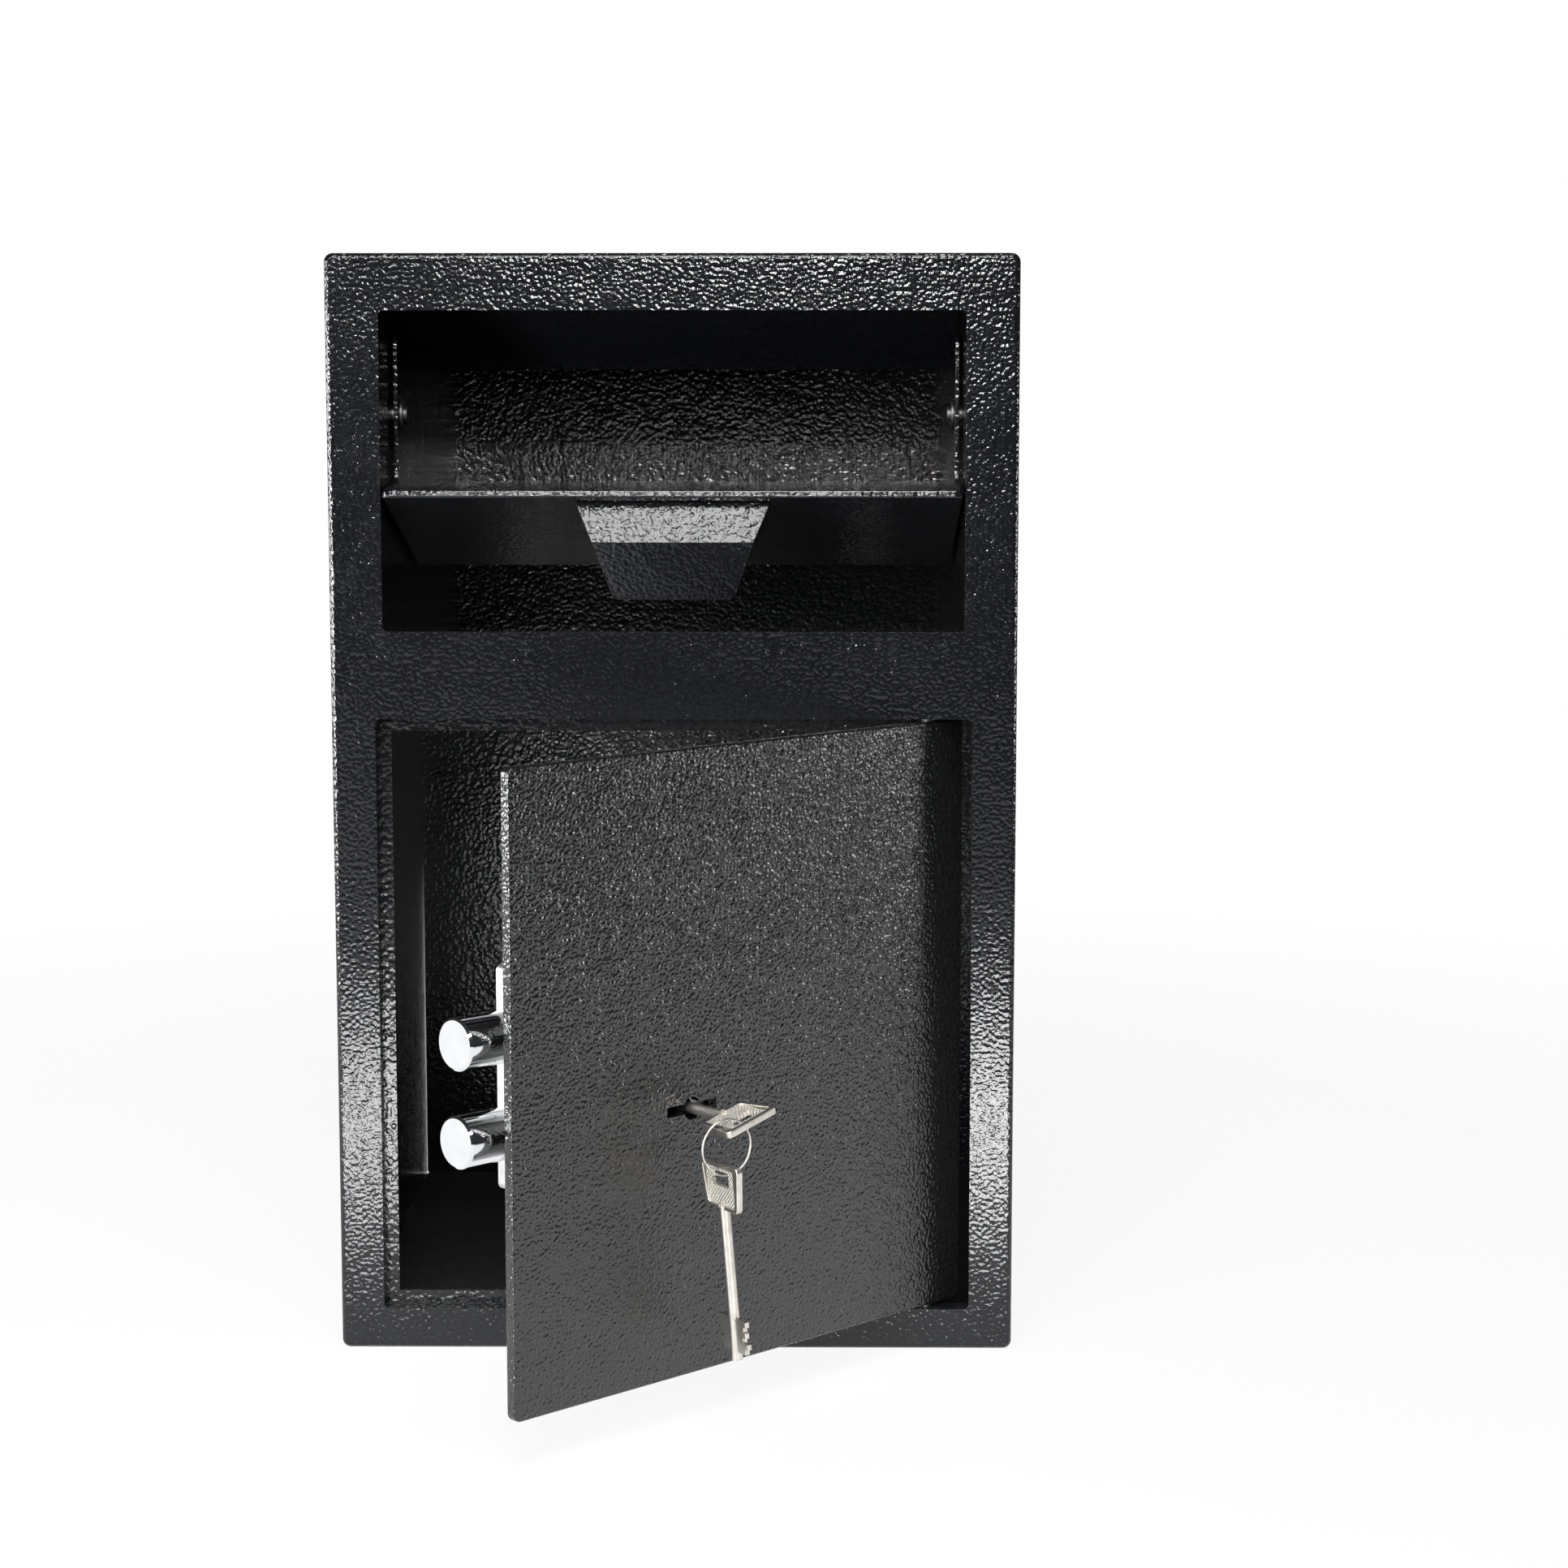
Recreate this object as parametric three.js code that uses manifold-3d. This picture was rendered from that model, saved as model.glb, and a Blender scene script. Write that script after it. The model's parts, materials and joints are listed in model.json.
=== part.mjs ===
// Drop safe with a deposit drawer: a folded steel body, a tilting deposit tray behind the
// upper opening, and a key-locked door with two round bolts in the lower one.
// Millimetres, +Z up. The origin is the middle of the base, and the front faces -Y.
// The model stands as it is used: tray tipped open, door ajar, bolts thrown, key in the lock.

import * as THREE from "three";
import { mergeVertices } from "three/addons/utils/BufferGeometryUtils.js";
import Module from "manifold-3d";

// Body
const bodyWidth = 350;
const bodyDepth = 360;
const bodyHeight = 566;
const wall = 3;
const bodyEdgeRadius = 3;
const bodyCornerRadius = 4.5;
const cornerRadius = 3;
const weldGap = 0.3;
const anchorHoleRadius = 6;
const anchorInset = 70;
const backAnchorHeight = 250;
const matThickness = 2;
const matInset = 1;

// Rails and stiles left round the two openings in the front
const bottomRail = 21.5;
const middleRail = 44.5;
const topRail = 28.5;
const doorStile = 22.5;
const drawerStile = 27;
const drawerOpeningHeight = 162;

// Door frame behind the lower opening
const jambThickness = 3;
const stopLipWidth = 7;
const stopLipThickness = 3;

// Door
const doorThickness = 6;
const doorRecess = 3;
const doorGap = 1.5;
const doorStopGap = 0.5;
const doorEdgeRadius = 1;
const doorOpenAngle = 44.5;
const hingeFromOpeningEdge = 22.5;
const hingeAxisDepth = 8;
const hingeRodRadius = 3.5;
const hingeRodReach = 4.8;
const hingeRodSeat = 18;
const hingeClearance = 0.3;

// Boltwork on the back of the door
const boltRadius = 12.5;
const boltChamfer = 1;
const boltPitch = 46;
const boltProtrusion = 14.5;
const boltBodyLength = 53;
const boltBehindDoor = 4.5;
const boltClearance = 0.4;
const boltBarWidth = 12;
const boltBarThickness = 16;
const boltBarOverhang = 4;
const boltTravel = 24;
const keyTurnWhole = 120;
const keyTurnFromSlot = 14.2;
const coverWall = 1.5;
const coverSetback = 22;
const coverWidth = 140;
const coverHeight = 107.5;
const coverRaise = 1.5;
const coverCornerRadius = 3;
const coverScrewInset = 9;
const coverScrewRadius = 2;
const coverScrewHeadRadius = 4.4;
const coverScrewHeadHeight = 2.6;
const drivePlateThickness = 3;
const drivePlateBehindDoor = 2;
const drivePlateLength = 96;
const guideStudRadius = 3;
const guideStudOut = 30;
const guideStudIn = 8;
const drivePlateRise = 10;
const guideStudReach = 9;

// Double-bit lock and its key
const keySetback = 112;
const lockWidth = 60;
const lockHeight = 52;
const lockDepth = 22;
const lockRaise = 6;
const lockCornerRadius = 2;
const lockFloor = 3;
const lockScrewInset = 5;
const lockScrewRadius = 2.8;
const lockScrewHeadHeight = 1.6;
const keyholeWidth = 32;
const keyholeHeight = 5;
const keyholeHubRadius = 5.5;
const keyStemRadius = 2.75;
const keyStemVisible = 20;
const keyStemLength = 75;
const keyTipLength = 4.4;
const keyBitLength = 16.6;
const keyBitHalfSpan = 12;
const keyBitThickness = 2.4;
const keyBowWidth = 33;
const keyBowNeckWidth = 27;
const keyBowLength = 23;
const keyBowThickness = 3.4;
const keyBowCornerRadius = 3;
const keySlotWidth = 15;
const keySlotHeight = 7.5;
const keySlotRadius = 1;
const keyBarHeight = 4;
const keyBowEdgeRadius = 0.6;
const tailHeight = 7;
const tailWidth = 12;
const tailClearance = 0.8;

// Ring that carries the second key
const ringRadius = 13.5;
const ringWireRadius = 0.9;
const ringSlack = 0.7;
const ringFromNeck = 13;
const ringTurnFromDoor = 10;
const spareKeySlack = 1.2;
const spareKeyAside = 20;
const spareKeyLean = 5.5;

// Deposit tray: flap, tray plate, cheeks and handle turn together on two side pins
const flapGapSide = 1.5;
const flapGapTop = 2.5;
const flapGapBottom = 3.5;
const flapThickness = 4;
const flapEdgeRadius = 1;
const trayPivotDepth = 57;
const trayPivotBelowTop = 52.5;
const trayOpenAngle = 74;
const traySheet = 2;
const trayPlateDrop = 47;
const trayReach = 90;
const cheekSheet = 2;
const cheekTopRise = 41;
const cheekTopFront = 10;
const cheekTopRear = 31;
const cheekFootFront = 11;
const cheekFootRear = 67;
const cheekFootRise = 12;
const cheekCornerRadius = 6;
const trayPinRadius = 4;
const trayPinHeadRadius = 7;
const trayPinHeadThickness = 3;
const trayPinEnd = 2;
const clipRadius = 7;
const clipThickness = 1.6;
const handleSheet = 2;
const handleRootDrop = 9;
const handleBaseHeight = 16;
const handleRootWidth = 99;
const handleTipWidth = 61;
const handleShelfOut = 21.2;
const handleShelfRise = 1.5;
const handleLipOut = 25;
const handleLipDrop = 22.5;
const handleCornerRadius = 6;

// Fixed guards round the tray
const chamberSheet = 2;
const chamberSkirt = 28;
const shelfLap = 8;
const shelfFlange = 15;
const topGuardFlangeStart = 38;
const topGuardBend = 60;
const topGuardEnd = 118;
const topGuardDrop = 55;

// How finely round shapes are drawn
const roundSegments = 32;
const smallSegments = 16;
const ringSegments = 48;
const ringWireSegments = 10;
const curveSegments = 6;
const bevelSegments = 3;
const domeSegments = 5;
const overrun = 5;
const weldTolerance = 1e-4;

// Places worked out from the sizes
const frontY = -bodyDepth / 2;
const backY = bodyDepth / 2;
const halfWidth = bodyWidth / 2;
const drawerOpeningTop = bodyHeight - topRail;
const drawerOpeningBottom = drawerOpeningTop - drawerOpeningHeight;
const doorOpeningTop = drawerOpeningBottom - middleRail;
const doorOpeningBottom = bottomRail;
const doorOpeningHalf = halfWidth - doorStile;
const drawerOpeningHalf = halfWidth - drawerStile;
const hingeX = doorOpeningHalf - hingeFromOpeningEdge;
const hingeY = frontY + hingeAxisDepth;
const trayPivotY = frontY + trayPivotDepth;
const trayPivotZ = drawerOpeningTop - trayPivotBelowTop;

const radians = THREE.MathUtils.degToRad;

const paint = { color: 0x17181b, roughness: 0.38, metalness: 0.3 };
const chrome = { color: 0xe2e4e6, roughness: 0.08, metalness: 1 };
const zinc = { color: 0xb9bbb6, roughness: 0.45, metalness: 0.6 };
const steel = { color: 0x9b9da0, roughness: 0.35, metalness: 0.9 };
const nickel = { color: 0xc9c5b8, roughness: 0.25, metalness: 0.95 };
const carpet = { color: 0x18171a, roughness: 0.95, metalness: 0 };

// Solids: joining and cutting
const wasm = await Module();
wasm.setup();

function solidOf(geometry) {
  const bare = geometry.clone();
  bare.deleteAttribute("normal");
  bare.deleteAttribute("uv");
  const merged = mergeVertices(bare, weldTolerance);
  return new wasm.Manifold(
    new wasm.Mesh({
      numProp: 3,
      vertProperties: merged.attributes.position.array,
      triVerts: new Uint32Array(merged.index.array),
    }),
  );
}

function geometryOf(solid) {
  const mesh = solid.getMesh();
  const geometry = new THREE.BufferGeometry();
  geometry.setAttribute("position", new THREE.BufferAttribute(mesh.vertProperties, 3));
  geometry.setIndex(new THREE.BufferAttribute(mesh.triVerts, 1));
  return geometry;
}

function cut(base, ...tools) {
  let solid = solidOf(base);
  for (const tool of tools) solid = solid.subtract(solidOf(tool));
  return geometryOf(solid);
}

function join(...pieces) {
  let solid = solidOf(pieces[0]);
  for (const piece of pieces.slice(1)) solid = solid.add(solidOf(piece));
  return geometryOf(solid);
}

function common(first, second) {
  return geometryOf(solidOf(first).intersect(solidOf(second)));
}

// Basic forms, each placed where it belongs
function block(x0, x1, y0, y1, z0, z1) {
  return new THREE.BoxGeometry(x1 - x0, y1 - y0, z1 - z0).translate(
    (x0 + x1) / 2,
    (y0 + y1) / 2,
    (z0 + z1) / 2,
  );
}

function rod(axis, radius, start, end, a, b, segments = roundSegments) {
  const geometry = new THREE.CylinderGeometry(radius, radius, end - start, segments);
  const middle = (start + end) / 2;
  if (axis === "x") return geometry.rotateZ(Math.PI / 2).translate(middle, a, b);
  if (axis === "y") return geometry.translate(a, middle, b);
  return geometry.rotateX(Math.PI / 2).translate(a, b, middle);
}

function roundedRectangle(a0, a1, b0, b1, radius) {
  const shape = new THREE.Shape();
  shape.moveTo(a0 + radius, b0);
  shape.lineTo(a1 - radius, b0);
  shape.absarc(a1 - radius, b0 + radius, radius, -Math.PI / 2, 0);
  shape.lineTo(a1, b1 - radius);
  shape.absarc(a1 - radius, b1 - radius, radius, 0, Math.PI / 2);
  shape.lineTo(a0 + radius, b1);
  shape.absarc(a0 + radius, b1 - radius, radius, Math.PI / 2, Math.PI);
  shape.lineTo(a0, b0 + radius);
  shape.absarc(a0 + radius, b0 + radius, radius, Math.PI, Math.PI * 1.5);
  return shape;
}

// A closed outline through corner points, each corner rounded by its own radius.
function outline(corners) {
  const shape = new THREE.Shape();
  corners.forEach(([a, b, radius = 0], i) => {
    const corner = new THREE.Vector2(a, b);
    const before = new THREE.Vector2(...corners.at(i - 1).slice(0, 2));
    const after = new THREE.Vector2(...corners[(i + 1) % corners.length].slice(0, 2));
    const start = before.sub(corner).setLength(radius).add(corner);
    const end = after.sub(corner).setLength(radius).add(corner);
    if (i === 0) shape.moveTo(start.x, start.y);
    else shape.lineTo(start.x, start.y);
    if (radius > 0) shape.quadraticCurveTo(a, b, end.x, end.y);
  });
  shape.closePath();
  return shape;
}

function extruded(shape, depth, edge = 0) {
  return new THREE.ExtrudeGeometry(shape, {
    depth: depth - 2 * edge,
    curveSegments,
    bevelEnabled: edge > 0,
    bevelThickness: edge,
    bevelSize: edge,
    bevelOffset: -edge,
    bevelSegments,
  }).translate(0, 0, edge);
}

// A slab whose outline is drawn in X and Z and which fills y0 to y1.
function slabXZ(shape, y0, y1, edge = 0) {
  return extruded(shape, y1 - y0, edge).rotateX(Math.PI / 2).translate(0, y1, 0);
}

// A slab whose outline is drawn in Y and Z and which fills x0 to x1.
const toYZ = new THREE.Matrix4().makeBasis(
  new THREE.Vector3(0, 1, 0),
  new THREE.Vector3(0, 0, 1),
  new THREE.Vector3(1, 0, 0),
);
function slabYZ(shape, x0, x1, edge = 0) {
  return extruded(shape, x1 - x0, edge).applyMatrix4(toYZ).translate(x0, 0, 0);
}

// A bent sheet's section: the line through the points, thickened to its left.
function bentSheet(points, thickness) {
  const line = points.map(([a, b]) => new THREE.Vector2(a, b));
  const offset = line.map((point, i) => {
    const into = line[Math.max(i, 1)].clone().sub(line[Math.max(i, 1) - 1]).normalize();
    const last = line.length - 1;
    const from = Math.min(i, last - 1);
    const out = line[from + 1].clone().sub(line[from]).normalize();
    const normal = new THREE.Vector2(-into.y - out.y, into.x + out.x).normalize();
    const stretch = thickness / (normal.x * -into.y + normal.y * into.x);
    return point.clone().addScaledVector(normal, stretch);
  });
  return new THREE.Shape([...line, ...offset.reverse()]);
}

// A round turned piece along X whose ends are chamfered.
function chamferedRod(radius, length, chamfer) {
  const profile = [
    [0, 0],
    [radius - chamfer, 0],
    [radius, chamfer],
    [radius, length - chamfer],
    [radius - chamfer, length],
    [0, length],
  ].map(([r, h]) => new THREE.Vector2(r, h));
  return new THREE.LatheGeometry(profile, roundSegments).rotateZ(-Math.PI / 2);
}

// A dome-headed screw along Y, its head towards +Y and its head's seat at y = 0.
function domeScrew(shankRadius, shankLength, headRadius, headHeight) {
  const profile = [
    new THREE.Vector2(0, -shankLength),
    new THREE.Vector2(shankRadius, -shankLength),
    new THREE.Vector2(shankRadius, 0),
  ];
  for (let i = 0; i <= domeSegments; i++) {
    const turn = (Math.PI / 2) * (i / domeSegments);
    const radius = i === domeSegments ? 0 : headRadius * Math.cos(turn);
    profile.push(new THREE.Vector2(radius, headHeight * Math.sin(turn)));
  }
  return new THREE.LatheGeometry(profile, smallSegments);
}

function mesh(name, geometry, look) {
  const flat = geometry.index ? geometry.toNonIndexed() : geometry;
  flat.computeVertexNormals();
  const piece = new THREE.Mesh(flat, new THREE.MeshStandardMaterial(look));
  piece.name = name;
  return piece;
}

// Body shell: folded sides and front in one, open at the back
function bodyShell() {
  const outer = slabXZ(
    roundedRectangle(-halfWidth, halfWidth, 0, bodyHeight, bodyCornerRadius),
    frontY,
    backY + 2 * bodyEdgeRadius,
    bodyEdgeRadius,
  );
  const behind = block(
    -halfWidth - overrun,
    halfWidth + overrun,
    backY,
    backY + 2 * bodyEdgeRadius + overrun,
    -overrun,
    bodyHeight + overrun,
  );
  const room = block(
    wall - halfWidth,
    halfWidth - wall,
    frontY + wall,
    backY + overrun,
    wall,
    bodyHeight - wall,
  );
  const openings = [
    [drawerOpeningHalf, drawerOpeningBottom, drawerOpeningTop],
    [doorOpeningHalf, doorOpeningBottom, doorOpeningTop],
  ].map(([half, bottom, top]) =>
    slabXZ(
      roundedRectangle(-half, half, bottom, top, cornerRadius),
      frontY - overrun,
      frontY + wall + overrun,
    ),
  );
  const anchors = [];
  for (const sideX of [-1, 1]) {
    for (const sideY of [-1, 1]) {
      const x = sideX * (halfWidth - anchorInset);
      const y = sideY * (backY - anchorInset);
      anchors.push(rod("z", anchorHoleRadius, -overrun, wall + overrun, x, y, smallSegments));
    }
  }
  return cut(outer, behind, room, ...openings, ...anchors);
}

// Back plate, let in between the folded sides
function backPlate() {
  const half = halfWidth - wall - weldGap;
  const plate = slabXZ(
    roundedRectangle(-half, half, wall + weldGap, bodyHeight - wall - weldGap, cornerRadius),
    backY - wall,
    backY,
  );
  const holes = [-1, 1].map((side) =>
    rod(
      "y",
      anchorHoleRadius,
      backY - wall - overrun,
      backY + overrun,
      side * (halfWidth - anchorInset),
      backAnchorHeight,
      smallSegments,
    ),
  );
  return cut(plate, ...holes);
}

// Door frame: jamb round the opening, with a stop lip that ends at the hinge
function doorFrame() {
  const front = frontY + wall + weldGap;
  const lipFront = frontY + doorRecess + doorThickness + doorStopGap;
  const back = lipFront + stopLipThickness;
  const outer = slabXZ(
    roundedRectangle(
      -doorOpeningHalf - jambThickness,
      doorOpeningHalf + jambThickness,
      doorOpeningBottom - jambThickness,
      doorOpeningTop + jambThickness,
      cornerRadius,
    ),
    front,
    back,
  );
  const passage = block(
    -doorOpeningHalf,
    doorOpeningHalf,
    front - overrun,
    lipFront,
    doorOpeningBottom,
    doorOpeningTop,
  );
  const window = block(
    stopLipWidth - doorOpeningHalf,
    doorOpeningHalf,
    front - overrun,
    back + overrun,
    doorOpeningBottom + stopLipWidth,
    doorOpeningTop - stopLipWidth,
  );
  const hingeSide = block(
    hingeX - hingeRodRadius - hingeClearance,
    doorOpeningHalf,
    front - overrun,
    back + overrun,
    doorOpeningBottom,
    doorOpeningTop,
  );
  const bearings = [doorOpeningBottom - jambThickness, doorOpeningTop].map((z) =>
    rod(
      "z",
      hingeRodRadius + hingeClearance,
      z - overrun,
      z + jambThickness + overrun,
      hingeX,
      hingeY,
      smallSegments,
    ),
  );
  return cut(outer, passage, window, hingeSide, ...bearings);
}

// Chamber sides that carry the tray's pins, from the roof down past the drop
const chamberInner = drawerOpeningHalf + weldGap;
const chamberBack = backY - wall - weldGap;
const roof = bodyHeight - wall - weldGap;
function chamberSide(side) {
  const near = side * chamberInner;
  const far = side * (chamberInner + chamberSheet);
  const plate = block(
    Math.min(near, far),
    Math.max(near, far),
    frontY + wall + weldGap,
    chamberBack,
    drawerOpeningBottom - chamberSkirt,
    roof,
  );
  const pinHole = rod(
    "x",
    trayPinRadius + weldGap,
    -overrun + Math.min(near, far),
    overrun + Math.max(near, far),
    trayPivotY,
    trayPivotZ,
    smallSegments,
  );
  return cut(plate, pinHole);
}

// Fixed shelf behind the tray: the tray's rear edge stops under it when tipped open
const guardHalf = chamberInner - weldGap;
const trayTop = trayPivotZ - trayPlateDrop;
function rearShelf() {
  const under = trayTop + weldGap;
  const section = bentSheet(
    [
      [trayPivotY + trayReach - shelfLap, under],
      [chamberBack - weldGap - chamberSheet, under],
      [chamberBack - weldGap - chamberSheet, under - shelfFlange],
    ],
    chamberSheet,
  );
  return slabYZ(section, -guardHalf, guardHalf);
}

// Sloping guard that hangs from the roof over the tray
function topGuard() {
  const section = bentSheet(
    [
      [frontY + topGuardEnd, roof - topGuardDrop],
      [frontY + topGuardBend, roof - chamberSheet],
      [frontY + topGuardFlangeStart, roof - chamberSheet],
    ].reverse(),
    chamberSheet,
  );
  return slabYZ(section, -guardHalf, guardHalf);
}

function floorMat() {
  const half = halfWidth - wall - matInset;
  return extruded(
    roundedRectangle(
      -half,
      half,
      frontY + wall + matInset,
      backY - wall - matInset,
      cornerRadius,
    ),
    matThickness,
  );
}

// Tray pins: fixed shoulder pins with their heads behind the chamber sides
const cheekOuter = drawerOpeningHalf - flapGapSide;
const cheekInner = cheekOuter - cheekSheet;
function trayPin(side) {
  const tip = cheekInner - clipThickness - weldGap - trayPinEnd;
  const headSeat = chamberInner + chamberSheet + weldGap;
  const pin = join(
    rod("x", trayPinRadius, tip, headSeat + trayPinHeadThickness / 2, 0, 0, smallSegments),
    rod("x", trayPinHeadRadius, headSeat, headSeat + trayPinHeadThickness, 0, 0, smallSegments),
  );
  return side > 0 ? pin : pin.rotateZ(Math.PI);
}

// Clips that keep the cheeks on their pins
function pinClip(side) {
  const outer = cheekInner - weldGap;
  const ring = cut(
    rod("x", clipRadius, outer - clipThickness, outer, 0, 0, smallSegments),
    rod("x", trayPinRadius + weldGap, 0, outer + overrun, 0, 0, smallSegments),
  );
  return side > 0 ? ring : ring.rotateZ(Math.PI);
}

// Flap, drawn shut: its face in line with the body's front
const flapFront = -trayPivotDepth;
const flapBack = flapFront + flapThickness;
const flapTop = drawerOpeningTop - flapGapTop - trayPivotZ;
const flapBottom = drawerOpeningBottom + flapGapBottom - trayPivotZ;
function flapPanel() {
  return slabXZ(
    roundedRectangle(
      -cheekOuter,
      cheekOuter,
      flapBottom,
      flapTop,
      flapEdgeRadius + cornerRadius,
    ),
    flapFront,
    flapBack,
    flapEdgeRadius,
  );
}

// A point of the shut flap, carried to where the tipped tray has it.
const tip = radians(trayOpenAngle);
function tipped(y, z) {
  return [y * Math.cos(tip) - z * Math.sin(tip), y * Math.sin(tip) + z * Math.cos(tip)];
}

// Tray plate, level when tipped open, from the flap's inner face to its rear edge
const flapInside = flapBack + weldGap;
function flapInsideAt(level) {
  return (flapInside - level * Math.sin(tip)) / Math.cos(tip);
}
function trayPlate() {
  const top = -trayPlateDrop;
  const bottom = top - traySheet;
  const half = cheekInner - weldGap;
  const section = outline([
    [flapInsideAt(top), top],
    [flapInsideAt(bottom), bottom],
    [trayReach, bottom],
    [trayReach, top],
  ]);
  return slabYZ(section, -half, half);
}

// Cheek: fills the wedge between flap and tray plate and rises to the pin
function cheek(side) {
  const corners = [
    tipped(flapInside, flapBottom + flapEdgeRadius),
    [trayReach, -trayPlateDrop - traySheet],
    [trayReach, -trayPlateDrop],
    [trayReach - shelfLap - cheekSheet, -trayPlateDrop],
    [cheekFootRear, -trayPlateDrop + cheekFootRise, cheekCornerRadius],
    [cheekTopRear, cheekTopRise, cheekCornerRadius],
    [-cheekTopFront, cheekTopRise, cheekCornerRadius],
    [-cheekFootFront, -trayPlateDrop + cheekFootRise, cheekCornerRadius],
    tipped(flapInside, flapTop - cornerRadius),
  ];
  const x0 = side > 0 ? cheekInner : -cheekOuter;
  const plate = slabYZ(outline(corners), x0, x0 + cheekSheet);
  const hole = rod(
    "x",
    trayPinRadius + weldGap,
    x0 - overrun,
    x0 + cheekSheet + overrun,
    0,
    0,
    smallSegments,
  );
  return cut(plate, hole);
}

// Pull handle, drawn on the shut flap: a base, a short shelf and a sloping lip
function pullHandle() {
  const face = flapFront - weldGap;
  const root = flapTop - handleRootDrop;
  const section = bentSheet(
    [
      [face - handleShelfOut - handleLipOut, root + handleShelfRise - handleLipDrop],
      [face - handleShelfOut, root + handleShelfRise],
      [face, root],
      [face, root - handleBaseHeight],
    ],
    -handleSheet,
  );
  const halfRoot = handleRootWidth / 2;
  const halfTip = handleTipWidth / 2;
  const out = face - handleShelfOut - handleLipOut - handleSheet / 2;
  const taper = extruded(
    outline([
      [-halfRoot, face],
      [-halfTip, out, handleCornerRadius],
      [halfTip, out, handleCornerRadius],
      [halfRoot, face],
    ]),
    flapTop - flapBottom,
  ).translate(0, 0, flapBottom);
  return common(slabYZ(section, -halfRoot - overrun, halfRoot + overrun), taper);
}

// Door, drawn shut round its hinge axis
const doorFront = doorRecess - hingeAxisDepth;
const doorBack = doorFront + doorThickness;
const doorLeft = -doorOpeningHalf + doorGap - hingeX;
const doorRight = doorOpeningHalf - doorGap - hingeX;
const doorBottom = doorOpeningBottom + doorGap;
const doorTop = doorOpeningTop - doorGap;
const doorMiddle = (doorBottom + doorTop) / 2;
const boltMiddle = doorMiddle + coverRaise;
const boltHeights = [boltMiddle + boltPitch / 2, boltMiddle - boltPitch / 2];
const keyX = doorLeft + keySetback;
const keyZ = boltHeights[1];
function doorPanel() {
  const plate = slabXZ(
    roundedRectangle(doorLeft, doorRight, doorBottom, doorTop, doorEdgeRadius + cornerRadius),
    doorFront,
    doorBack,
    doorEdgeRadius,
  );
  const front = doorFront - overrun;
  const back = doorBack + overrun;
  const slot = block(
    keyX - keyholeWidth / 2,
    keyX + keyholeWidth / 2,
    front,
    back,
    keyZ - keyholeHeight / 2,
    keyZ + keyholeHeight / 2,
  );
  const hub = rod("y", keyholeHubRadius, front, back, keyX, keyZ);
  const seat = hingeRodRadius + hingeClearance;
  const grooves = [
    rod("z", seat, doorBottom - overrun, doorBottom + hingeRodSeat, 0, 0, smallSegments),
    rod("z", seat, doorTop - hingeRodSeat, doorTop + overrun, 0, 0, smallSegments),
  ];
  return cut(plate, slot, hub, ...grooves);
}

// Hinge rods, let into the back of the door at its top and bottom edge
function hingeRod(atTop) {
  const seated = hingeRodSeat - weldGap;
  return atTop
    ? rod("z", hingeRodRadius, doorTop - seated, doorTop + hingeRodReach, 0, 0, smallSegments)
    : rod("z", hingeRodRadius, doorBottom - hingeRodReach, doorBottom + seated, 0, 0, smallSegments);
}

// Boltwork cover: a pressed box, open towards the door, with holes for the bolts and the key
const mountFace = doorBack + weldGap;
const boltY = doorBack + boltBehindDoor + boltRadius;
const coverLeft = doorLeft + coverSetback;
const coverRight = coverLeft + coverWidth;
const coverBottom = boltMiddle - coverHeight / 2;
const coverTop = boltMiddle + coverHeight / 2;
const coverBack = boltY + boltRadius + boltClearance + coverWall;
const keySweepRadius = keyBitHalfSpan + tailClearance;
function boltworkCover() {
  const outer = slabXZ(
    roundedRectangle(coverLeft, coverRight, coverBottom, coverTop, coverCornerRadius),
    mountFace,
    coverBack,
  );
  const room = block(
    coverLeft + coverWall,
    coverRight - coverWall,
    mountFace - overrun,
    coverBack - coverWall,
    coverBottom + coverWall,
    coverTop - coverWall,
  );
  const holes = boltHeights.map((z) =>
    rod("x", boltRadius + boltClearance, coverLeft - overrun, coverLeft + overrun, boltY, z),
  );
  const keySweep = rod("y", keySweepRadius, coverBack - overrun, coverBack + overrun, keyX, keyZ);
  const screwHoles = coverScrewPlaces().map(([x, z]) =>
    rod(
      "y",
      coverScrewRadius + weldGap,
      coverBack - overrun,
      coverBack + overrun,
      x,
      z,
      smallSegments,
    ),
  );
  return cut(outer, room, ...holes, keySweep, tailSlot(coverBack - overrun), ...screwHoles);
}

function coverScrewPlaces() {
  const xs = [coverLeft + coverScrewInset, coverRight - coverScrewInset];
  const zs = [coverBottom + coverScrewInset, coverTop - coverScrewInset];
  return xs.flatMap((x) => zs.map((z) => [x, z]));
}

function coverScrew([x, z]) {
  const seat = coverBack + weldGap;
  return domeScrew(
    coverScrewRadius,
    seat - mountFace,
    coverScrewHeadRadius,
    coverScrewHeadHeight,
  ).translate(x, seat, z);
}

// Lock case behind the cover, with the round room in which the key's bits turn
const lockFront = coverBack + weldGap;
const lockBack = lockFront + lockDepth;
const lockLeft = keyX - lockWidth / 2;
const lockRight = lockLeft + lockWidth;
const lockBottom = keyZ - lockHeight / 2 + lockRaise;
const lockTop = lockBottom + lockHeight;
const keyTip = doorFront - keyStemVisible + keyStemLength;
const boltOut = (boltTravel * keyTurnFromSlot) / keyTurnWhole;
const boltIn = boltTravel - boltOut;
const tailBottom = keyZ + keySweepRadius + tailClearance;
const tailLeft = keyX - tailWidth;

// Room in which the lock's tail slides, from the given depth to the lock's floor; it opens
// into the round room, where the key's bits push the tail.
function tailSlot(from) {
  return block(
    tailLeft - boltOut - tailClearance,
    tailLeft + tailWidth + boltIn + tailClearance,
    from,
    lockBack - lockFloor,
    tailBottom - 2 * tailClearance,
    tailBottom + tailHeight + tailClearance,
  );
}

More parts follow.
